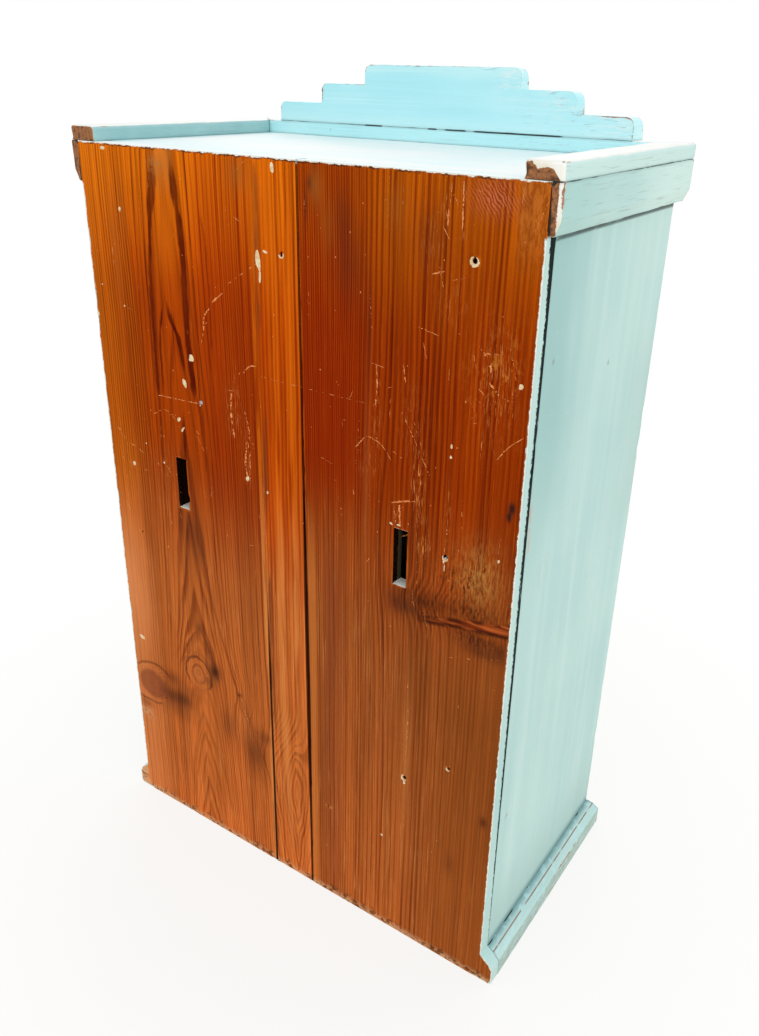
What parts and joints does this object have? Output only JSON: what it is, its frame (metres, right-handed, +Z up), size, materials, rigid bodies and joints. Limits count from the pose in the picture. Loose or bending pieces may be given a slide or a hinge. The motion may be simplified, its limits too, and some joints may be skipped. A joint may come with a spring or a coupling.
{
  "type": "tabletop cupboard",
  "caption": "Small painted wooden cupboard: framed doors on butt hinges, fixed shelves, a bare boarded back, a railed tray top and a stepped pediment.",
  "frame": {"origin": "on the ground, in the middle of the box round the closed cupboard, knobs included", "axes": "+Z up; the doors face -Y and the boarded back faces +Y; +X is the cupboard's right as its front is faced"},
  "size_m": [0.329, 0.193, 0.5456],
  "materials": {
    "paint": "worn duck-egg blue paint",
    "bare_pine": "bare, aged and waxed",
    "brass": "dull",
    "steel": "dull",
    "catch_case": "brown"
  },
  "bodies": {
    "case": {"left_side": "paint", "right_side": "paint", "top_board": "paint", "bottom_board": "bare_pine", "lower_shelf": "bare_pine", "upper_shelf": "bare_pine", "head_rail": "paint", "door_stop": "bare_pine", "left_back_board": "bare_pine", "middle_back_board": "bare_pine", "right_back_board": "bare_pine", "left_top_rail": "paint", "right_top_rail": "paint", "front_top_rail": "paint", "left_fascia": "paint", "right_fascia": "paint", "front_fascia": "paint", "pediment": "paint", "pediment_dowels": "bare_pine", "left_base_moulding": "paint", "right_base_moulding": "paint", "front_base_moulding": "paint", "left_upper_case_leaf": "brass", "left_lower_case_leaf": "brass", "right_upper_case_leaf": "brass", "right_lower_case_leaf": "brass", "left_upper_pin": "brass", "left_lower_pin": "brass", "right_upper_pin": "brass", "right_lower_pin": "brass", "case_hinge_screws": "brass", "left_catch": "catch_case", "right_catch": "catch_case"},
    "left_door": {"left_door_hinge_stile": "paint", "left_door_lock_stile": "paint", "left_door_top_rail": "paint", "left_door_bottom_rail": "paint", "left_door_panel": "paint", "left_upper_door_leaf": "brass", "left_lower_door_leaf": "brass", "left_door_hinge_screws": "brass", "left_knob": "paint", "left_knob_screw": "steel", "left_catch_plate": "steel"},
    "right_door": {"right_door_hinge_stile": "paint", "right_door_lock_stile": "paint", "right_door_top_rail": "paint", "right_door_bottom_rail": "paint", "right_door_panel": "paint", "right_upper_door_leaf": "brass", "right_lower_door_leaf": "brass", "right_door_hinge_screws": "brass", "right_knob": "paint", "right_knob_screw": "steel", "right_catch_plate": "steel"}
  },
  "joints": [
    {"name": "left_door_swing", "type": "hinge", "parent": "case", "child": "left_door", "pos_m": [-0.143, -0.079, 0.25], "axis": [0, 0, -1], "range_deg": [0, 180]},
    {"name": "right_door_swing", "type": "hinge", "parent": "case", "child": "right_door", "pos_m": [0.143, -0.079, 0.25], "axis": [0, 0, 1], "range_deg": [0, 180]}
  ]
}
